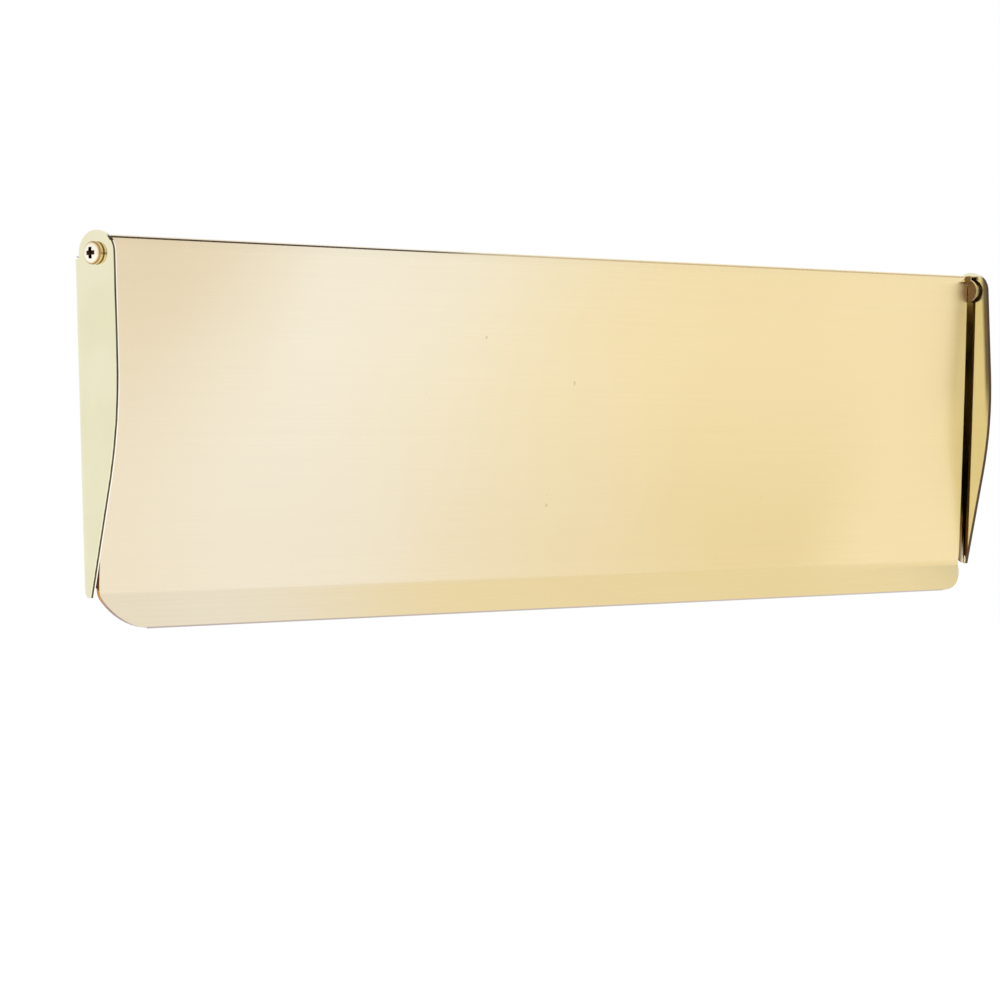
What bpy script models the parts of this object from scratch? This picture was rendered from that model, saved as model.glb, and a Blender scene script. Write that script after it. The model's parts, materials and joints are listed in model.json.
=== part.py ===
"""Interior letter plate: a folded brass frame with a sprung, hooded flap.

Metres, +Z up, +X to the right seen from the room, +Y into the door.
The origin is on the rear mounting face, midway along the land above the slot.
"""
import math

import bmesh
import bpy
from mathutils import Vector

# ---- driving dimensions ---------------------------------------------------

LENGTH = 0.330            # over the outer faces of the two cheeks
FRAME_SHEET = 0.0012      # thickness of the folded frame
FOLD_RADIUS = 0.0030      # outer radius of the two frame folds

PIVOT_Y = -0.0075         # flap axis in front of the mounting face
PIVOT_Z = 0.0090          # flap axis above the origin
LOBE_RADIUS = 0.0048      # round top of each cheek, centred on the flap axis

PLATE_TOP = PIVOT_Z - 0.0009      # the back plate stops just under the axis
FRAME_BOTTOM = PIVOT_Z - 0.0712   # lower tip of each cheek
FOOT_CORNER = 0.00196             # round rear corner of each cheek's foot
PLATE_BOTTOM = FRAME_BOTTOM + FOOT_CORNER

STRAIGHT_DROP = 0.0220    # cheek front runs straight this far below the axis
BELLY_RADIUS = 0.105      # then curves back towards the door
BELLY_ANGLE = math.radians(14.2)

SLOT_LENGTH = 0.250       # letter opening in the back plate
SLOT_HEIGHT = 0.038
SLOT_CORNER = 0.0030
SLOT_MIDDLE = (PLATE_TOP + PLATE_BOTTOM) / 2

FIXING_X = 0.1460         # countersunk fixing holes beside the slot
FIXING_RISE = 0.0240
FIXING_RADIUS = 0.0021
COUNTERSINK_RADIUS = 0.0033

FLAP_SHEET = 0.0008
FLAP_HALF = 0.1617        # half length of the flap's face
FLAP_TOP = PIVOT_Z + 0.0041
FLAP_TOP_Y = -0.0080      # front of the face at its top
FLAP_BOW = 0.0002         # the face bulges forward by this much halfway down
FLANGE_REAR_Y = -0.0036   # the top flange reaches back to here
FOLD_Z = PIVOT_Z - 0.0710
FOLD_Y = -0.0025          # front of the face at the lip fold
LIP_Z = PIVOT_Z - 0.0778
LIP_Y = -0.0057           # front of the lip at its free edge
TOP_BEND = 0.0013         # radii of the flap's bends, at the middle of the sheet
LIP_BEND = 0.0030
LIP_CORNER = (0.0117, 0.0093)     # width and height of the lip's round corners
ROOM = 0.0020                     # how far cutters reach past what they trim

EAR_INNER = 0.16185       # pivot ears hang just outside the ends of the face
EAR_OUTER = 0.16260
EAR_RADIUS = 0.0030
EAR_NECK = (-0.0012, 0.0024)      # front and rear of the neck, from the axis
EAR_FOLD = 0.0006
FLARE_START = PIVOT_Z - 0.0005    # the face widens from here up to the ears
FLARE_RADIUS = 0.0085

SCREW_RADIUS = 0.00120
THREAD_HOLE = 0.00128
CHEEK_HOLE = 0.00129
HEAD_RADIUS = 0.00243
HEAD_RIM = 0.00055        # height of the straight rim of the head
HEAD_HEIGHT = 0.00140
WASHER_SHEET = 0.00020
WASHER_RADIUS = 0.00236
STACK_GAP = 0.00005       # running gap between cheek, washer and head
RECESS_LENGTH = 0.00270
RECESS_WIDTH = 0.00090
RECESS_DEPTH = 0.00100

SPRING_WIRE = 0.00032
SPRING_RADIUS = 0.00200   # to the middle of the wire
SPRING_TURNS = 1.50
SPRING_PITCH = 0.00035
LEG_TIP = (0.0068, -0.00035)      # fixed leg's tip, over the plate's top edge
HOOK_RADIUS = 0.00225     # the moving leg enters the ear at this radius
HOOK_LEAD = math.radians(30)      # how far past the coil's end the hook lies
HOOK_HOLE = 0.00026
TURN_STEPS = 22

ROUND_STEPS = 32
SIDES = {"left": -1, "right": 1}


# ---- outlines -------------------------------------------------------------

def arc(centre, radius, start, end, steps):
    """Points along an arc, angles in radians, both ends included."""
    points = []
    for i in range(steps + 1):
        angle = start + (end - start) * i / steps
        points.append((centre[0] + radius * math.cos(angle),
                       centre[1] + radius * math.sin(angle)))
    return points


def circle(centre, radius, steps=ROUND_STEPS):
    """A closed ring of points."""
    return arc(centre, radius, 0, 2 * math.pi, steps)[:-1]


def rounded(corner_points, radius, steps=5):
    """An open path whose inner corners are replaced by tangent arcs."""
    path = [corner_points[0]]
    for before, corner, after in zip(corner_points, corner_points[1:], corner_points[2:]):
        a, b, c = Vector(before), Vector(corner), Vector(after)
        into, out = (a - b).normalized(), (c - b).normalized()
        half = into.angle(out) / 2
        reach = radius[corner] / math.tan(half)
        centre = b + (into + out).normalized() * radius[corner] / math.sin(half)
        start = b + into * reach - centre
        end = b + out * reach - centre
        turn = start.angle_signed(end)
        for i in range(steps + 1):
            angle = -turn * i / steps
            step = Vector((start.x * math.cos(angle) - start.y * math.sin(angle),
                           start.x * math.sin(angle) + start.y * math.cos(angle)))
            path.append(tuple(centre + step))
    path.append(corner_points[-1])
    return path


def sheet_outline(path, thickness):
    """The closed outline of a sheet bent along a path through its middle."""
    points = [Vector(p) for p in path]
    left, right = [], []
    for i, point in enumerate(points):
        ahead = points[min(i + 1, len(points) - 1)]
        behind = points[max(i - 1, 0)]
        along = (ahead - behind).normalized()
        normal = Vector((-along.y, along.x)) * thickness / 2
        left.append(tuple(point + normal))
        right.append(tuple(point - normal))
    return left + right[::-1]


# ---- solids ---------------------------------------------------------------

def new_object(name, mesh):
    piece = bpy.data.objects.new(name, mesh)
    bpy.context.collection.objects.link(piece)
    return piece


def finish_mesh(name, bm):
    bmesh.ops.recalc_face_normals(bm, faces=bm.faces)
    mesh = bpy.data.meshes.new(name)
    bm.to_mesh(mesh)
    bm.free()
    return mesh


def prism(name, outline, axis, start, end):
    """An outline pushed along X, Y or Z.

    The outline is (Y, Z) for X, (X, Z) for Y and (X, Y) for Z.
    """
    def place(point, depth):
        if axis == "X":
            return (depth, point[0], point[1])
        if axis == "Y":
            return (point[0], depth, point[1])
        return (point[0], point[1], depth)

    bm = bmesh.new()
    near = [bm.verts.new(place(p, start)) for p in outline]
    far = [bm.verts.new(place(p, end)) for p in outline]
    bm.faces.new(near[::-1])
    bm.faces.new(far)
    for i in range(len(outline)):
        j = (i + 1) % len(outline)
        bm.faces.new((near[i], near[j], far[j], far[i]))
    return new_object(name, finish_mesh(name, bm))


def turned(name, profile, side, steps=ROUND_STEPS):
    """A profile of (distance along X, radius) spun about the flap axis."""
    bm = bmesh.new()
    rings = []
    for x, radius in profile:
        if radius == 0:
            rings.append([bm.verts.new((side * x, PIVOT_Y, PIVOT_Z))])
            continue
        ring = [bm.verts.new((side * x, y, z))
                for y, z in circle((PIVOT_Y, PIVOT_Z), radius, steps)]
        rings.append(ring)
    closed = profile[0][1] != 0
    pairs = list(zip(rings, rings[1:]))
    if closed:
        pairs.append((rings[-1], rings[0]))
    for low, high in pairs:
        for i in range(steps):
            j = (i + 1) % steps
            corners = [low[i % len(low)], low[j % len(low)],
                       high[j % len(high)], high[i % len(high)]]
            unique = list(dict.fromkeys(corners))
            bm.faces.new(unique)
    return new_object(name, finish_mesh(name, bm))


def combine(piece, tool, operation):
    """Cut a tool out of a piece, join it on or keep the common part."""
    modifier = piece.modifiers.new(tool.name, "BOOLEAN")
    modifier.operation = operation
    modifier.solver = "EXACT"
    modifier.object = tool
    tool.hide_render = True
    tool.display_type = "WIRE"


def smooth(piece, degrees=35):
    piece.data.shade_smooth()
    piece.data.set_sharp_from_angle(angle=math.radians(degrees))


def material(name, colour, roughness, metallic):
    surface = bpy.data.materials.new(name)
    surface.use_nodes = True
    shader = surface.node_tree.nodes["Principled BSDF"]
    shader.inputs["Base Color"].default_value = (*colour, 1)
    shader.inputs["Roughness"].default_value = roughness
    shader.inputs["Metallic"].default_value = metallic
    return surface


# ---- frame ----------------------------------------------------------------

def channel_outline():
    """Plan view of the sheet folded into a wide, shallow U."""
    mid_radius = FOLD_RADIUS - FRAME_SHEET / 2
    outer = LENGTH / 2 - FRAME_SHEET / 2
    front = PIVOT_Y - LOBE_RADIUS - 0.002
    rear = -FRAME_SHEET / 2
    corners = [(-outer, front), (-outer, rear), (outer, rear), (outer, front)]
    radius = {corners[1]: mid_radius, corners[2]: mid_radius}
    return sheet_outline(rounded(corners, radius, steps=6), FRAME_SHEET)


def cheek_outline():
    """Side view of plate and cheek: round top, straight front, swept foot, round heel."""
    behind = 0.001
    lobe = arc((PIVOT_Y, PIVOT_Z), LOBE_RADIUS, 0, math.pi, 24)
    belly_centre = (PIVOT_Y - LOBE_RADIUS + BELLY_RADIUS, PIVOT_Z - STRAIGHT_DROP)
    belly = arc(belly_centre, BELLY_RADIUS, math.pi, math.pi + BELLY_ANGLE, 8)
    foot_drop = belly[-1][1] - FRAME_BOTTOM
    foot_y = belly[-1][0] + foot_drop * math.tan(BELLY_ANGLE)
    heel = arc((foot_y, PLATE_BOTTOM), FOOT_CORNER, -math.pi / 2, 0, 6)
    outline = [(behind, PLATE_BOTTOM), (behind, PLATE_TOP)]
    outline += [(PIVOT_Y + LOBE_RADIUS, PLATE_TOP)]
    return outline + lobe + belly + heel


def slot_outline():
    """The letter opening, centred on the back plate."""
    reach_x = SLOT_LENGTH / 2 - SLOT_CORNER
    reach_z = SLOT_HEIGHT / 2 - SLOT_CORNER
    outline = []
    for quarter, (sx, sz) in enumerate(((1, 1), (-1, 1), (-1, -1), (1, -1))):
        start = quarter * math.pi / 2
        outline += arc((sx * reach_x, SLOT_MIDDLE + sz * reach_z), SLOT_CORNER,
                       start, start + math.pi / 2, 4)
    return outline


def countersink(name, x, z):
    """A fixing hole, wider on the room side."""
    bm = bmesh.new()
    stations = ((0.001, FIXING_RADIUS), (-FRAME_SHEET + 0.0008, FIXING_RADIUS),
                (-FRAME_SHEET, COUNTERSINK_RADIUS), (-0.002, COUNTERSINK_RADIUS))
    rings = []
    for y, radius in stations:
        rings.append([bm.verts.new((px, y, pz)) for px, pz in circle((x, z), radius, 24)])
    for low, high in zip(rings, rings[1:]):
        for i in range(len(low)):
            j = (i + 1) % len(low)
            bm.faces.new((low[i], low[j], high[j], high[i]))
    bm.faces.new(rings[0])
    bm.faces.new(rings[-1][::-1])
    return new_object(name, finish_mesh(name, bm))


def make_frame(brass):
    frame = prism("back_frame", channel_outline(), "Z", FRAME_BOTTOM - 0.001,
                  PIVOT_Z + LOBE_RADIUS + 0.001)
    side_view = prism("cut_side_view", cheek_outline(), "X", -LENGTH, LENGTH)
    combine(frame, side_view, "INTERSECT")
    slot = prism("cut_slot", slot_outline(), "Y", -0.004, 0.002)
    combine(frame, slot, "DIFFERENCE")
    axis_hole = prism("cut_axis", circle((PIVOT_Y, PIVOT_Z), CHEEK_HOLE), "X",
                      -LENGTH, LENGTH)
    combine(frame, axis_hole, "DIFFERENCE")
    for i, (sx, sz) in enumerate(((-1, -1), (-1, 1), (1, -1), (1, 1))):
        hole = countersink(f"cut_fixing_{i}", sx * FIXING_X, SLOT_MIDDLE + sz * FIXING_RISE)
        combine(frame, hole, "DIFFERENCE")
    frame.data.materials.append(brass)
    smooth(frame)
    return frame


# ---- flap -----------------------------------------------------------------

def flap_path():
    """Side view through the middle of the sheet: flange, face, fold and lip."""
    half = FLAP_SHEET / 2
    flange_end = (FLANGE_REAR_Y, FLAP_TOP - half)
    top = (FLAP_TOP_Y + half, FLAP_TOP - half)
    fold = (FOLD_Y + half, FOLD_Z)
    lip_end = (LIP_Y + half, LIP_Z)
    face = []
    steps = 8
    for i in range(1, steps):
        u = i / steps
        y = top[0] + (fold[0] - top[0]) * u - FLAP_BOW * 4 * u * (1 - u)
        face.append((y, top[1] + (fold[1] - top[1]) * u))
    upper = rounded([flange_end, top, face[0]], {top: TOP_BEND})
    lower = rounded([face[-1], fold, lip_end], {fold: LIP_BEND})
    return upper + face[1:-1] + lower


def ear_outline():
    """Side view of an ear: a round boss with a neck up to the flange."""
    front_angle = math.pi / 2 + math.asin(-EAR_NECK[0] / EAR_RADIUS)
    rear_angle = math.pi / 2 - math.asin(EAR_NECK[1] / EAR_RADIUS) + 2 * math.pi
    ring = arc((PIVOT_Y, PIVOT_Z), EAR_RADIUS, front_angle, rear_angle, 26)
    top = FLAP_TOP - 0.0003
    return ring + [(ring[-1][0], top), (ring[0][0], top)]


def lip_corner_cutter(label, side):
    """What is trimmed off a square corner of the lip to make it round."""
    width, height = LIP_CORNER
    centre_x = FLAP_HALF - width
    centre_z = LIP_Z + height
    angles = [-math.pi / 2 * i / 12 for i in range(13)]
    outline = [(side * (centre_x + width * math.cos(a)), centre_z + height * math.sin(a))
               for a in angles]
    outline.append((side * centre_x, LIP_Z - ROOM))
    outline.append((side * (FLAP_HALF + ROOM), LIP_Z - ROOM))
    outline.append((side * (FLAP_HALF + ROOM), centre_z))
    return prism(f"cut_lip_{label}", outline, "Y", LIP_Y - ROOM, 0.001)


def ear_fold_cutter(label, side):
    """Rounds the outer edge where the flange turns down into an ear."""
    centre = (EAR_OUTER - EAR_FOLD, FLAP_TOP - EAR_FOLD)
    curve = arc(centre, EAR_FOLD, math.pi / 2, 0, 5)
    outline = curve + [(EAR_OUTER + 0.001, centre[1]), (EAR_OUTER + 0.001, FLAP_TOP + 0.001),
                       (centre[0], FLAP_TOP + 0.001)]
    return prism(f"cut_ear_fold_{label}", [(side * x, z) for x, z in outline],
                 "Y", PIVOT_Y - 0.01, 0.0)


def flare(label, side):
    """The strip at each end where the top of the sheet widens to the ear."""
    inner = FLAP_HALF - 0.004
    strip = prism(f"join_flare_{label}", sheet_outline(flap_path(), FLAP_SHEET), "X",
                  side * inner, side * EAR_OUTER)
    centre = (FLAP_HALF + FLARE_RADIUS, FLARE_START)
    reach = math.asin((FLAP_TOP - 0.0008 - FLARE_START) / FLARE_RADIUS)
    curve = arc(centre, FLARE_RADIUS, math.pi, math.pi - reach, 8)
    beyond = EAR_OUTER + ROOM
    bottom, shelf = LIP_Z - ROOM, FLARE_START - 0.0030
    outline = [(inner - ROOM, bottom), (inner - ROOM, shelf), (FLAP_HALF, shelf)] + curve
    outline += [(beyond, curve[-1][1]), (beyond, bottom)]
    cutter = prism(f"cut_flare_{label}", [(side * x, z) for x, z in outline], "Y", -0.02, 0.001)
    combine(strip, cutter, "DIFFERENCE")
    return strip


def spring_angles():
    """Where the coil starts, tangent to the fixed leg, and where it ends."""
    tip = Vector(LEG_TIP)
    start = math.atan2(tip.y, tip.x) - math.acos(SPRING_RADIUS / tip.length)
    return start, start - SPRING_TURNS * 2 * math.pi


def hook_place():
    """Where the spring's moving leg enters the ear, just past the coil's end."""
    angle = spring_angles()[1] - HOOK_LEAD
    return (PIVOT_Y + HOOK_RADIUS * math.cos(angle), PIVOT_Z + HOOK_RADIUS * math.sin(angle))


def add_ear(flap, label, side):
    """Joins one pivot ear to the flap and drills it."""
    ear = prism(f"join_ear_{label}", ear_outline(), "X", side * EAR_INNER, side * EAR_OUTER)
    combine(flap, ear, "UNION")
    combine(flap, ear_fold_cutter(label, side), "DIFFERENCE")
    start, end = side * (EAR_INNER - 0.0001), side * (EAR_OUTER + 0.0002)
    thread = prism(f"cut_thread_{label}", circle((PIVOT_Y, PIVOT_Z), THREAD_HOLE), "X",
                   start, end)
    combine(flap, thread, "DIFFERENCE")
    hook = prism(f"cut_hook_{label}", circle(hook_place(), HOOK_HOLE, 12), "X", start, end)
    combine(flap, hook, "DIFFERENCE")


def make_flap(brass, axis):
    flap = prism("flap", sheet_outline(flap_path(), FLAP_SHEET), "X", -FLAP_HALF, FLAP_HALF)
    for label, side in SIDES.items():
        combine(flap, lip_corner_cutter(label, side), "DIFFERENCE")
        combine(flap, flare(label, side), "UNION")
        add_ear(flap, label, side)
    flap.data.materials.append(brass)
    smooth(flap)
    put_on_axis(flap, axis)
    return flap


def put_on_axis(piece, axis):
    """Hang a piece on the empty that stands on the flap's axis."""
    piece.parent = axis
    piece.matrix_parent_inverse = axis.matrix_world.inverted()


# ---- pivots and springs ---------------------------------------------------

def recess_bar(name, side, face, upright):
    """One bar of the cross-shaped driver recess; it narrows with depth."""
    bm = bmesh.new()
    rings = []
    for depth, scale in ((-0.0004, 1.15), (RECESS_DEPTH, 0.45)):
        along, across = RECESS_LENGTH / 2 * scale, RECESS_WIDTH / 2
        if upright:
            along, across = across, along
        corners = ((-along, -across), (along, -across), (along, across), (-along, across))
        rings.append([bm.verts.new((side * (face - depth), PIVOT_Y + y, PIVOT_Z + z))
                      for y, z in corners])
    for i in range(4):
        j = (i + 1) % 4
        bm.faces.new((rings[0][i], rings[0][j], rings[1][j], rings[1][i]))
    bm.faces.new(rings[0][::-1])
    bm.faces.new(rings[1])
    return new_object(name, finish_mesh(name, bm))


def make_screw(label, side, brass, axis):
    """A domed-head screw: head outside the cheek, shank into the ear."""
    tip = EAR_INNER + STACK_GAP
    under_head = LENGTH / 2 + WASHER_SHEET + 2 * STACK_GAP
    rim = under_head + HEAD_RIM
    face = under_head + HEAD_HEIGHT
    profile = [(tip, 0), (tip, SCREW_RADIUS), (under_head, SCREW_RADIUS),
               (under_head, HEAD_RADIUS), (rim, HEAD_RADIUS)]
    steps = 6
    for i in range(1, steps):
        angle = math.pi / 2 * i / steps
        profile.append((rim + (face - rim) * math.sin(angle), HEAD_RADIUS * math.cos(angle)))
    profile.append((face, 0))
    screw = turned(f"pivot_screw_{label}", profile, side)
    for upright in (False, True):
        bar = recess_bar(f"cut_recess_{label}_{int(upright)}", side, face, upright)
        combine(screw, bar, "DIFFERENCE")
    screw.data.materials.append(brass)
    smooth(screw)
    put_on_axis(screw, axis)
    return screw


def make_washer(label, side, brass):
    inner = LENGTH / 2 + STACK_GAP
    outer = inner + WASHER_SHEET
    profile = [(inner, CHEEK_HOLE), (inner, WASHER_RADIUS), (outer, WASHER_RADIUS),
               (outer, CHEEK_HOLE)]
    washer = turned(f"pivot_washer_{label}", profile, side)
    washer.data.materials.append(brass)
    smooth(washer)
    return washer


def spring_route(side):
    """Fixed leg over the plate's top edge, coil round the screw, hook in the ear."""
    gap_middle = (EAR_OUTER + LENGTH / 2 - FRAME_SHEET) / 2
    coil_length = SPRING_TURNS * SPRING_PITCH
    cheek_end = gap_middle + coil_length / 2
    ear_end = gap_middle - coil_length / 2
    start, end = spring_angles()
    route = [(cheek_end, PIVOT_Y + LEG_TIP[0], PIVOT_Z + LEG_TIP[1])]
    steps = round(SPRING_TURNS * TURN_STEPS)
    for i in range(steps + 1):
        share = i / steps
        angle = start + (end - start) * share
        route.append((cheek_end - share * coil_length,
                      PIVOT_Y + SPRING_RADIUS * math.cos(angle),
                      PIVOT_Z + SPRING_RADIUS * math.sin(angle)))
    for share, sink in ((0.55, 0.0), (0.88, 0.00006), (1.0, 0.00025)):
        angle = end - HOOK_LEAD * share
        radius = SPRING_RADIUS + (HOOK_RADIUS - SPRING_RADIUS) * share
        route.append((ear_end - sink, PIVOT_Y + radius * math.cos(angle),
                      PIVOT_Z + radius * math.sin(angle)))
    hook_y, hook_z = hook_place()
    route.append((EAR_INNER + 0.0001, hook_y, hook_z))
    return [(side * x, y, z) for x, y, z in route]


def make_spring(label, side, steel):
    name = f"return_spring_{label}"
    curve = bpy.data.curves.new(name, "CURVE")
    curve.dimensions = "3D"
    curve.bevel_depth = SPRING_WIRE / 2
    curve.bevel_resolution = 1
    curve.use_fill_caps = True
    route = spring_route(side)
    line = curve.splines.new("POLY")
    line.points.add(len(route) - 1)
    for point, place in zip(line.points, route):
        point.co = (*place, 1)
    curve.materials.append(steel)
    return new_object(name, curve)


# ---- assembly -------------------------------------------------------------

def build():
    for old in list(bpy.data.objects):
        bpy.data.objects.remove(old, do_unlink=True)

    axis = bpy.data.objects.new("flap_axis", None)
    bpy.context.collection.objects.link(axis)
    axis.location = (0, PIVOT_Y, PIVOT_Z)
    bpy.context.view_layer.update()

    make_frame(material("frame_brass", (0.83, 0.73, 0.47), 0.16, 1.0))
    make_flap(material("flap_brass", (0.86, 0.71, 0.42), 0.24, 1.0), axis)
    for label, side in SIDES.items():
        make_screw(label, side, material(f"screw_brass_{label}", (0.80, 0.60, 0.25), 0.18, 1.0),
                   axis)
        make_washer(label, side, material(f"washer_brass_{label}", (0.78, 0.60, 0.28), 0.22, 1.0))
        make_spring(label, side, material(f"spring_steel_{label}", (0.55, 0.53, 0.50), 0.30, 1.0))


build()
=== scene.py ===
"""Interior letter plate: polished folded frame, brushed flap, screws and springs.

Metres throughout. X runs along the plate, Y into the door and Z up.
"""
import json
import math

import bpy
from mathutils import Matrix, Vector

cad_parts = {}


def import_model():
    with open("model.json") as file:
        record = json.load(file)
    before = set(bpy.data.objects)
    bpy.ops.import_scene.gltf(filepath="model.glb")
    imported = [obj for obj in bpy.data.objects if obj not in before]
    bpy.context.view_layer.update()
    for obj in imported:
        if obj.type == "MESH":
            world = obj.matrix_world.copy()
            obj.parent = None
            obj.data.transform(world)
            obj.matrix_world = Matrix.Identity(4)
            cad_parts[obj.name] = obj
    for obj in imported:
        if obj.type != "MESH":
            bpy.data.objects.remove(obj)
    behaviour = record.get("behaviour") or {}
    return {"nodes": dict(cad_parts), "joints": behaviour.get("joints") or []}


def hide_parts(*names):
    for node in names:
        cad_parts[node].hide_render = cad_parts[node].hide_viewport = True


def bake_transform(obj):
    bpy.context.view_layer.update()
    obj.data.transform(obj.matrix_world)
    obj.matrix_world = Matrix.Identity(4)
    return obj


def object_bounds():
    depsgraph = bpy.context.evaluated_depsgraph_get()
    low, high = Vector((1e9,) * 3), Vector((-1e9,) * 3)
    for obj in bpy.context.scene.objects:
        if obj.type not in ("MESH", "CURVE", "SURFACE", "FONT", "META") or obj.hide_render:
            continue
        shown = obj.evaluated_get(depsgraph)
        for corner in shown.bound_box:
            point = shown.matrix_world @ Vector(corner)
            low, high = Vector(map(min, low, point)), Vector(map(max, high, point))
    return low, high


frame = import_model()
cad_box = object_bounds()
nodes = frame["nodes"]

_, PIVOT_Y, PIVOT_Z = frame["joints"][0]["pos_m"]    # the flap's axis
SIDES = {"left": -1, "right": 1}
CHEEK_OUTER = 0.1650      # outer face of each cheek
FOLD_RADIUS = 0.0030      # outer radius of the frame's folds
HEAD_RADIUS = 0.00243     # a screw head, its rim's outer edge and the dome on it
DOME_FOOT = 0.16585
DOME_HEIGHT = 0.00085
EDGE_ANGLE = math.radians(50)    # corners sharper than this are cut edges

# Brass tones, several of them painted highlight, painted reflection and painted shade
# Painted highlight: the pale flap tones stand for light on its left end, the second one also
# with painted shade near the foot.
FLAP_HIGHLIGHT, FLAP_HIGHLIGHT_SHADED = (0.875, 0.800, 0.635), (0.820, 0.735, 0.575)
# Painted shade: the second gold tone is the gold deepened towards the foot.
FLAP_GOLD, FLAP_GOLD_SHADED = (0.875, 0.715, 0.400), (0.790, 0.630, 0.325)
# Painted highlight on the flap's right end.
FLAP_END_HIGHLIGHT = (0.890, 0.725, 0.410)
# Painted shade in the flap's upper left corner.
FLAP_CORNER_SHADE = (0.745, 0.610, 0.400)
FLAP_ROSY = (0.790, 0.680, 0.490)
FLAP_LIP = (0.830, 0.655, 0.325)
FLAP_REAR = (0.420, 0.280, 0.130)
FLAP_SPECK = (0.50, 0.36, 0.16)
# Painted shade on the flap's ends.
END_SHADE_ORANGE = (0.50, 0.26, 0.07)
# Painted shade under the flap's lower edges.
UNDER_SHADE_MAUVE = (0.36, 0.27, 0.23)
# Painted shade on the flap's ears.
EAR_SHADE_BROWN = (0.20, 0.13, 0.07)
FRAME_DEEP, FRAME_LIGHT = (0.800, 0.770, 0.535), (0.835, 0.800, 0.580)
# Painted dark reflection on the frame's rims.
RIM_DARK_REFLECTION, RIM_MID_REFLECTION = (0.060, 0.045, 0.025), (0.130, 0.105, 0.060)
# Painted dark reflection on the right rim.
RIM_RIGHT_REFLECTION = (0.075, 0.042, 0.022)
# Painted highlight along the rims.
RIM_HIGHLIGHT = (0.960, 0.930, 0.830)
FOLD_DARK_BROWN = (0.150, 0.080, 0.045)
SCREW_DEEP, SCREW_LIGHT = (0.76, 0.60, 0.30), (0.84, 0.70, 0.40)
# Painted highlight on the screw's crown.
SCREW_CROWN_HIGHLIGHT = (0.95, 0.89, 0.78)
# Painted shade round the screw head's brim.
SCREW_BRIM_SHADE = (0.40, 0.24, 0.11)
SCREW_SHANK = (0.24, 0.15, 0.07)
# Painted shade in the screw's driver recess.
RECESS_SHADE = (0.030, 0.014, 0.008)
# Painted shade on the washers under the screw heads.
WASHER_SHADE_DEEP, WASHER_SHADE_LIGHT = (0.22, 0.13, 0.06), (0.34, 0.21, 0.10)
WIRE_DEEP, WIRE_LIGHT = (0.36, 0.34, 0.31), (0.56, 0.54, 0.50)


# ---- node helpers ---------------------------------------------------------

class Graph:
    """A few shorthands for building a node tree."""

    def __init__(self, tree):
        self.tree = tree

    def node(self, kind, **settings):
        made = self.tree.nodes.new(kind)
        for key, value in settings.items():
            setattr(made, key, value)
        return made

    def link(self, source, target):
        if isinstance(source, bpy.types.NodeSocket):
            self.tree.links.new(source, target)
        else:
            target.default_value = source

    def math(self, operation, a, b=0.0, c=0.0):
        made = self.node("ShaderNodeMath", operation=operation)
        for socket, value in zip(made.inputs, (a, b, c)):
            self.link(value, socket)
        return made.outputs[0]

    def product(self, first, *others):
        for value in others:
            first = self.math("MULTIPLY", first, value)
        return first

    def absolute(self, value):
        return self.math("ABSOLUTE", value)

    def ramp(self, value, low, high, out_low=0.0, out_high=1.0):
        """A smooth change from out_low to out_high as the value goes from low to high."""
        made = self.node("ShaderNodeMapRange", interpolation_type="SMOOTHSTEP")
        for socket, item in zip(made.inputs, (value, low, high, out_low, out_high)):
            self.link(item, socket)
        return made.outputs[0]

    def mix(self, share, a, b, blend="MIX"):
        made = self.node("ShaderNodeMix", data_type="RGBA", blend_type=blend)
        self.link(share, made.inputs["Factor"])
        for name, value in (("A", a), ("B", b)):
            socket = [s for s in made.inputs if s.name == name and s.type == "RGBA"][0]
            self.link(value if not isinstance(value, tuple) else (*value[:3], 1), socket)
        return [s for s in made.outputs if s.type == "RGBA"][0]

    def noise(self, vector, scale, detail=3.0, roughness=0.55):
        made = self.node("ShaderNodeTexNoise")
        self.link(vector, made.inputs["Vector"])
        made.inputs["Scale"].default_value = scale
        made.inputs["Detail"].default_value = detail
        made.inputs["Roughness"].default_value = roughness
        return made.outputs["Fac"]

    def stretch(self, vector, scale):
        made = self.node("ShaderNodeMapping")
        self.link(vector, made.inputs["Vector"])
        made.inputs["Scale"].default_value = scale
        return made.outputs["Vector"]

    def split(self, vector):
        made = self.node("ShaderNodeSeparateXYZ")
        self.link(vector, made.inputs[0])
        return made.outputs


def metal(name):
    """A fresh metallic material: itself, its graph, shader and coordinates node."""
    surface = bpy.data.materials.new(name)
    surface.use_nodes = True
    graph = Graph(surface.node_tree)
    shader = surface.node_tree.nodes["Principled BSDF"]
    shader.inputs["Metallic"].default_value = 1.0
    where = graph.node("ShaderNodeTexCoord")
    return surface, graph, shader, where


def bump(graph, shader, heights):
    """Stacks (height, distance, strength) layers onto the shader's normal."""
    previous = None
    for height, distance, strength in heights:
        layer = graph.node("ShaderNodeBump")
        layer.inputs["Distance"].default_value = distance
        layer.inputs["Strength"].default_value = strength
        graph.link(height, layer.inputs["Height"])
        if previous is not None:
            graph.link(previous, layer.inputs["Normal"])
        previous = layer.outputs["Normal"]
    graph.link(previous, shader.inputs["Normal"])


# ---- materials ------------------------------------------------------------

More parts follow.
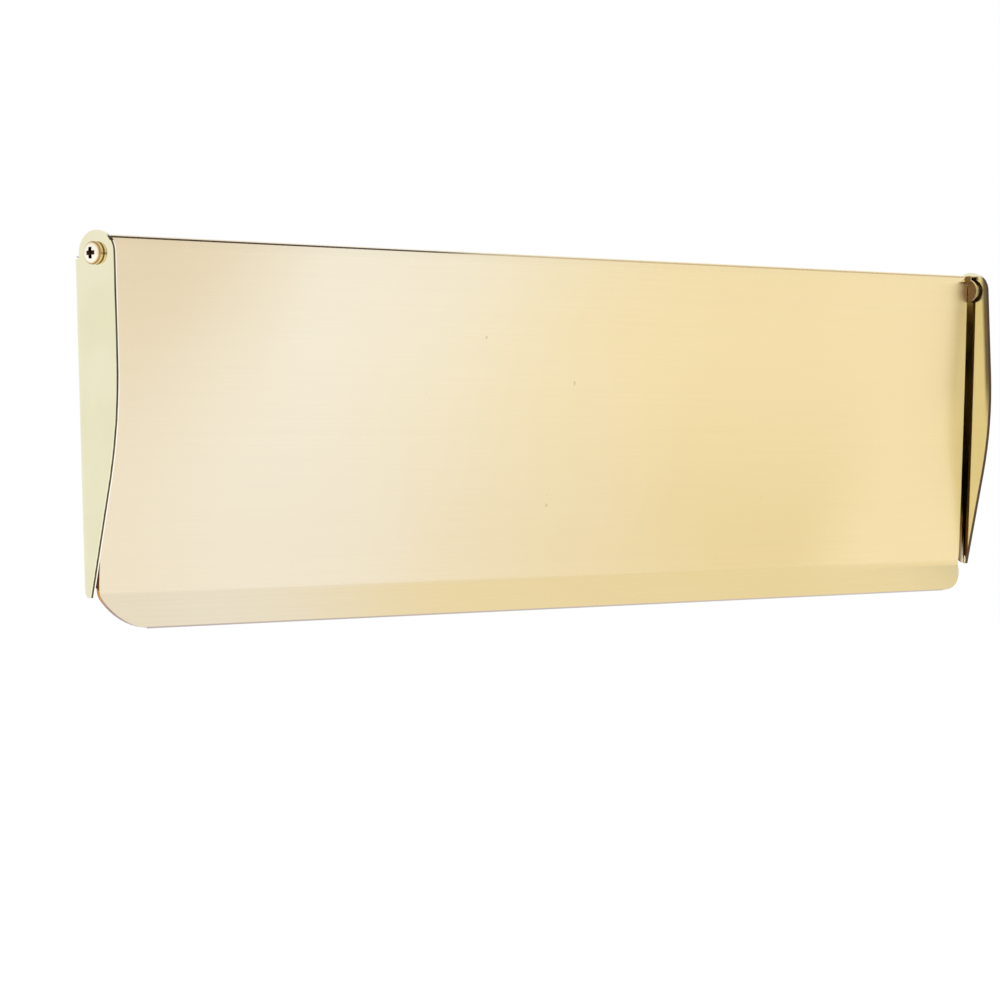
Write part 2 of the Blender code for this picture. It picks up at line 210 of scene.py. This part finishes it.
def flap_tones(graph, place, axes):
    """Pale with a painted highlight at the left end and gold at the right, brighter with a
    painted highlight at its end; painted shade makes it a little deeper towards the foot and
    darker in the upper left corner.
    """
    cloud = graph.noise(graph.stretch(place, (7, 14, 14)), 1.0, 2.0, 0.5)
    drift = graph.math("MULTIPLY_ADD", graph.math("SUBTRACT", cloud, 0.5), 0.10, axes["X"])
    # Painted shade: the tones deepen towards the foot.
    low = graph.ramp(axes["Z"], -0.005, -0.060)
    # Painted highlight: the left end is pale.
    pale = graph.mix(low, FLAP_HIGHLIGHT, FLAP_HIGHLIGHT_SHADED)
    gold = graph.mix(low, FLAP_GOLD, FLAP_GOLD_SHADED)
    colour = graph.mix(graph.ramp(drift, -0.100, 0.060), pale, gold)
    # Painted highlight brightens the right end.
    colour = graph.mix(graph.ramp(drift, 0.085, 0.140, 0.0, 0.8), colour, FLAP_END_HIGHLIGHT)
    # Painted shade in the upper left corner.
    corner = graph.product(graph.ramp(drift, -0.095, -0.165),
                           graph.ramp(axes["Z"], -0.050, 0.010))
    colour = graph.mix(corner, colour, FLAP_CORNER_SHADE)
    colour = graph.mix(graph.ramp(axes["X"], -0.120, -0.160, 0.0, 0.5), colour, FLAP_ROSY)
    lip = graph.product(graph.ramp(axes["Z"], -0.0605, -0.0625, 0.0, 0.7),
                        graph.ramp(axes["X"], -0.140, -0.040))
    return graph.mix(lip, colour, FLAP_LIP)


def painted_edge_shade(graph, axes, normal, colour):
    """Painted shade on the flap's edges: its ends orange, its ears brown and its lower edges
    mauve.
    """
    end = graph.ramp(graph.absolute(normal["X"]), 0.75, 0.95)
    # Painted shade: orange on the ends, brown on the ears above them.
    end_shade = graph.mix(graph.ramp(axes["Z"], 0.0050, 0.0060), END_SHADE_ORANGE, EAR_SHADE_BROWN)
    colour = graph.mix(end, colour, end_shade)
    # Painted shade: mauve on the downward-facing edges.
    under = graph.ramp(graph.product(normal["Z"], -1.0), 0.30, 0.60)
    return graph.mix(under, colour, UNDER_SHADE_MAUVE)


def flap_brass():
    """Faint lengthwise grain over warm brass; smoother along its two bends."""
    surface, graph, shader, where = metal("flap_brushed_brass")
    place = where.outputs["Object"]
    axes = graph.split(place)
    normal = graph.split(where.outputs["Normal"])
    grain = graph.noise(graph.stretch(place, (14, 900, 2600)), 1.0, 4.0, 0.6)
    fine = graph.noise(graph.stretch(place, (60, 3000, 9000)), 1.0, 2.0, 0.5)
    streak = graph.math("MULTIPLY_ADD", fine, 0.35, graph.product(grain, 0.65))
    colour = flap_tones(graph, place, axes)
    colour = graph.mix(graph.ramp(normal["Y"], 0.20, 0.50), colour, FLAP_REAR)
    tone = graph.ramp(streak, 0.30, 0.70, 0.985, 1.012)
    shade = graph.node("ShaderNodeCombineColor")
    for socket in shade.inputs:
        graph.link(tone, socket)
    colour = graph.mix(1.0, colour, shade.outputs[0], "MULTIPLY")
    speck = graph.noise(graph.stretch(place, (420, 420, 420)), 1.0, 1.0, 0.4)
    colour = graph.mix(graph.ramp(speck, 0.80, 0.86, 0.0, 0.5), colour, FLAP_SPECK)
    graph.link(painted_edge_shade(graph, axes, normal, colour), shader.inputs["Base Color"])
    bends = graph.math("ADD", graph.ramp(axes["Z"], 0.0100, 0.0116),
                       graph.ramp(axes["Z"], -0.0600, -0.0625))
    rough = graph.product(graph.ramp(streak, 0.25, 0.75, 0.33, 0.38),
                          graph.math("MULTIPLY_ADD", bends, -0.68, 1.0))
    graph.link(rough, shader.inputs["Roughness"])
    bump(graph, shader, [(grain, 0.000008, 0.12), (fine, 0.000004, 0.12)])
    return surface


def fold_darkening(graph, axes, outward):
    """Where the frame's folds turn, below the pivots, the colour darkens to brown."""
    across = graph.math("SUBTRACT", outward, CHEEK_OUTER - FOLD_RADIUS)
    depth = graph.math("ADD", axes["Y"], FOLD_RADIUS)
    square = graph.math("ADD", graph.product(across, across), graph.product(depth, depth))
    return graph.product(graph.ramp(graph.math("SQRT", square), 0.0024, 0.0020, 0.0, 0.94),
                         graph.ramp(axes["Y"], -0.0027, -0.0017),
                         graph.ramp(axes["Z"], 0.0075, 0.0070))


def frame_brass():
    """Polished faces, and rims with a painted highlight and a painted dark reflection in a
    line midway along the left one.

    The whole right rim carries the painted dark reflection, and so does the front margin of
    the right cheek's inside; these bands are also a little rougher.
    """
    surface, graph, shader, where = metal("frame_polished_brass")
    place = where.outputs["Object"]
    axes = graph.split(place)
    normal = graph.split(where.outputs["Normal"])
    cloud = graph.noise(graph.stretch(place, (60, 60, 60)), 1.0, 3.0, 0.5)
    hair = graph.noise(graph.stretch(place, (200, 2500, 120)), 1.0, 3.0, 0.6)
    outward = graph.absolute(axes["X"])
    wander = graph.math("MULTIPLY_ADD", graph.math("SUBTRACT", hair, 0.5), 0.0002, outward)
    right = graph.ramp(axes["X"], 0.0, 0.1)
    line = graph.product(graph.ramp(wander, 0.16405, 0.16416),
                         graph.ramp(wander, 0.16474, 0.16462))
    rim = graph.product(graph.ramp(graph.absolute(normal["X"]), 0.80, 0.45),
                        graph.ramp(axes["Y"], -0.0022, -0.0030))
    # Painted dark reflection, with extra roughness: a line on the left rim, the whole right
    # rim and the front margin inside the right cheek.
    rough_dark_reflection = graph.product(graph.math("MAXIMUM", line, right), rim,
                         graph.ramp(axes["Z"], 0.0132, 0.0118))
    margin = graph.product(graph.ramp(axes["Y"], -0.0106, -0.0118, 0.0, 0.85),
                           graph.ramp(axes["Z"], -0.032, -0.012),
                           graph.ramp(normal["X"], -0.6, -0.9), right)
    rough_dark_reflection = graph.math("MAXIMUM", rough_dark_reflection, margin)
    colour = graph.mix(graph.ramp(cloud, 0.3, 0.7), FRAME_DEEP, FRAME_LIGHT)
    colour = graph.mix(fold_darkening(graph, axes, outward), colour, FOLD_DARK_BROWN)
    # Painted highlight on the side of each rim towards the flap.
    rim_sheen = graph.product(rim, graph.ramp(wander, 0.16440, 0.16420))
    colour = graph.mix(rim_sheen, colour, RIM_HIGHLIGHT)
    # Painted dark reflection tones, streaked.
    tone = graph.mix(graph.ramp(hair, 0.3, 0.7), RIM_DARK_REFLECTION, RIM_MID_REFLECTION)
    tone = graph.mix(right, tone, RIM_RIGHT_REFLECTION)
    graph.link(graph.mix(rough_dark_reflection, colour, tone), shader.inputs["Base Color"])
    rough = graph.ramp(cloud, 0.25, 0.75, 0.05, 0.09)
    graph.link(graph.math("MULTIPLY_ADD", rough_dark_reflection, 0.25, rough), shader.inputs["Roughness"])
    bump(graph, shader, [(hair, 0.00001, 0.10)])
    return surface


def screw_brass():
    """Turned brass with faint rings, a pale painted highlight on the crown, painted shade
    round the brim and dark painted shade in the driver recess.
    """
    surface, graph, shader, where = metal("screw_turned_brass")
    axes = graph.split(where.outputs["Object"])
    outward = graph.absolute(axes["X"])
    y = graph.math("SUBTRACT", axes["Y"], PIVOT_Y)
    z = graph.math("SUBTRACT", axes["Z"], PIVOT_Z)
    square = graph.math("ADD", graph.product(y, y), graph.product(z, z))
    radius = graph.math("SQRT", square)
    rings = graph.math("SINE", graph.product(radius, 60000.0))
    mottle = graph.noise(where.outputs["Object"], 900.0, 3.0, 0.5)
    colour = graph.mix(graph.ramp(mottle, 0.3, 0.7), SCREW_DEEP, SCREW_LIGHT)
    # Painted highlight: the crown is pale.
    crown = graph.product(graph.ramp(radius, 0.00215, 0.00170),
                          graph.ramp(outward, 0.16560, 0.16600))
    colour = graph.mix(crown, colour, SCREW_CROWN_HIGHLIGHT)
    # Painted shade round the brim.
    brim = graph.product(graph.ramp(radius, 0.00205, 0.00225),
                         graph.ramp(outward, 0.16578, 0.16590))
    colour = graph.mix(brim, colour, SCREW_BRIM_SHADE)
    colour = graph.mix(graph.ramp(outward, 0.16522, 0.16515), colour, SCREW_SHANK)
    share = graph.math("DIVIDE", square, HEAD_RADIUS ** 2)
    fall = graph.math("SQRT", graph.math("MAXIMUM", graph.math("SUBTRACT", 1.0, share), 0.0))
    dome = graph.math("MULTIPLY_ADD", fall, DOME_HEIGHT, DOME_FOOT)
    # Painted shade in the driver recess.
    recess = graph.product(
        graph.ramp(graph.math("SUBTRACT", dome, outward), 0.00005, 0.00016),
        graph.ramp(radius, 0.0018, 0.0016), graph.ramp(outward, 0.16535, 0.16545))
    graph.link(graph.mix(recess, colour, RECESS_SHADE), shader.inputs["Base Color"])
    graph.link(graph.ramp(mottle, 0.25, 0.75, 0.10, 0.18), shader.inputs["Roughness"])
    bump(graph, shader, [(rings, 0.000004, 0.15)])
    return surface


def washer_brass():
    """Plain satin brass, dark all over with painted shade from the screw's head."""
    surface, graph, shader, where = metal("washer_brass")
    mottle = graph.noise(where.outputs["Object"], 1200.0, 3.0, 0.5)
    # Painted shade: the washer is dark throughout.
    colour = graph.mix(graph.ramp(mottle, 0.3, 0.7), WASHER_SHADE_DEEP, WASHER_SHADE_LIGHT)
    graph.link(colour, shader.inputs["Base Color"])
    graph.link(graph.ramp(mottle, 0.25, 0.75, 0.18, 0.30), shader.inputs["Roughness"])
    bump(graph, shader, [(mottle, 0.000006, 0.2)])
    return surface


def spring_steel():
    """Drawn wire with fine lines and a slight oil film."""
    surface, graph, shader, where = metal("spring_drawn_steel")
    mottle = graph.noise(where.outputs["Object"], 1500.0, 4.0, 0.6)
    colour = graph.mix(graph.ramp(mottle, 0.3, 0.7), WIRE_DEEP, WIRE_LIGHT)
    graph.link(colour, shader.inputs["Base Color"])
    graph.link(graph.ramp(mottle, 0.25, 0.75, 0.22, 0.38), shader.inputs["Roughness"])
    bump(graph, shader, [(mottle, 0.000008, 0.25)])
    return surface


# ---- pieces ---------------------------------------------------------------

def put(name, data):
    """A new object in the scene."""
    made = bpy.data.objects.new(name, data)
    bpy.context.scene.collection.objects.link(made)
    return made


def dress(looks):
    """Gives each node its material."""
    for name, surface in looks.items():
        piece = nodes[name]
        piece.data.materials.clear()
        piece.data.materials.append(surface)


def round_edges(name, width, segments):
    """Breaks a sheet's cut edges, as polishing does."""
    edge = nodes[name].modifiers.new("broken_edges", "BEVEL")
    edge.width = width
    edge.segments = segments
    edge.limit_method = "ANGLE"
    edge.angle_limit = EDGE_ANGLE


def winding_spring(label):
    """A return spring: its coil is copied to an object of its own and the node is hidden.
    """
    node = nodes[f"return_spring_{label}"]
    coil = put(f"spring_coil_{label}", node.data.copy())
    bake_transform(coil)
    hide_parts(node.name)


# ---- studio ---------------------------------------------------------------

def matt_panel(name, corners, tone, finish):
    """A flat four-cornered piece in one plain colour, and its shader."""
    mesh = bpy.data.meshes.new(name)
    mesh.from_pydata(corners, [], [(0, 1, 2, 3)])
    surface = bpy.data.materials.new(finish)
    surface.use_nodes = True
    shader = surface.node_tree.nodes["Principled BSDF"]
    shader.inputs["Base Color"].default_value = (*tone, 1)
    shader.inputs["Roughness"].default_value = 0.9
    mesh.materials.append(surface)
    return put(name, mesh), shader


def camera():
    """The viewpoint: left of the plate, at the height of its lower half."""
    turn, lift, roll = math.radians(-51.04), math.radians(-0.52), math.radians(-1.67)
    back = Vector((math.sin(turn) * math.cos(lift), -math.cos(turn) * math.cos(lift),
                   math.sin(lift)))
    right = Vector((0, 0, 1)).cross(back).normalized()
    up = back.cross(right)
    right, up = (right * math.cos(roll) + up * math.sin(roll),
                 up * math.cos(roll) - right * math.sin(roll))
    lens = bpy.data.cameras.new("camera")
    lens.sensor_width = 36
    lens.lens = 165.6
    lens.clip_start = 0.01
    view = put("camera", lens)
    place = Matrix((right, up, back)).transposed().to_4x4()
    place.translation = Vector((-0.8510, -0.6676, -0.0530))
    view.matrix_world = place
    bpy.context.scene.camera = view


def world():
    """A white surround."""
    sky = bpy.data.worlds.new("studio")
    bpy.context.scene.world = sky
    sky.use_nodes = True
    background = sky.node_tree.nodes["Background"]
    background.inputs["Color"].default_value = (1, 1, 1, 1)
    background.inputs["Strength"].default_value = 1.0


def floor():
    """A plain pale floor under the hanging plate."""
    reach = 6.0
    level = cad_box[0][2] - 0.16
    corners = [(-reach, -reach, level), (reach, -reach, level),
               (reach, reach, level), (-reach, reach, level)]
    plane, shader = matt_panel("floor", corners, (0.97, 0.97, 0.97), "floor_white")
    shader.inputs["Emission Color"].default_value = (1, 1, 1, 1)
    shader.inputs["Emission Strength"].default_value = 0.05


def softbox(name, place, target, size, power):
    """A rectangular lamp that faces its target."""
    lamp = bpy.data.lights.new(name, "AREA")
    lamp.shape = "RECTANGLE"
    lamp.size, lamp.size_y = size
    lamp.energy = power
    box = put(name, lamp)
    box.location = place
    box.rotation_euler = (Vector(target) - Vector(place)).to_track_quat("-Z", "Y").to_euler()


def card(name, middle, facing, size, tone):
    """A plain panel that only shows in reflections, like the gap between two lamps."""
    facing = Vector(facing).normalized()
    side = Vector((0, 0, 1)).cross(facing).normalized() * size[0] / 2
    up = facing.cross(side).normalized() * size[1] / 2
    corners = [Vector(middle) + side * x + up * z
               for x, z in ((-1, -1), (1, -1), (1, 1), (-1, 1))]
    panel, _ = matt_panel(name, corners, tone, name)
    panel.visible_camera = False
    panel.visible_diffuse = False
    panel.visible_shadow = False


def main():
    looks = {"back_frame": frame_brass(), "flap": flap_brass()}
    screws, washers, springs = screw_brass(), washer_brass(), spring_steel()
    for label in SIDES:
        looks[f"pivot_screw_{label}"] = screws
        looks[f"pivot_washer_{label}"] = washers
        looks[f"return_spring_{label}"] = springs
    dress(looks)
    round_edges("back_frame", 0.00045, 4)
    round_edges("flap", 0.00025, 3)
    for label, side in SIDES.items():
        winding_spring(label)
    camera()
    world()
    floor()
    card("lens_gap", (-0.890, -0.699, 0.010), (0.7775, 0.6288, 0), (0.12, 0.17),
         (0.03, 0.018, 0.012))
    card("lamp_gap", (0.170, -0.070, 0.300), (-0.02, 0, -1), (0.20, 0.26), (0.05, 0.03, 0.02))
    card("far_gap", (0.640, -0.070, 0.300), (-0.02, 0, -1), (0.20, 0.68), (0.62, 0.57, 0.50))
    card("end_gap", (0.607, -0.063, 0.145), (-0.838, 0.348, -0.421), (0.25, 0.12),
         (0.68, 0.74, 0.76))
    softbox("key", (-0.6, -1.2, 1.4), (0, 0, 0), (1.2, 1.2), 8.0)
    bpy.context.scene.view_settings.view_transform = "Standard"


main()
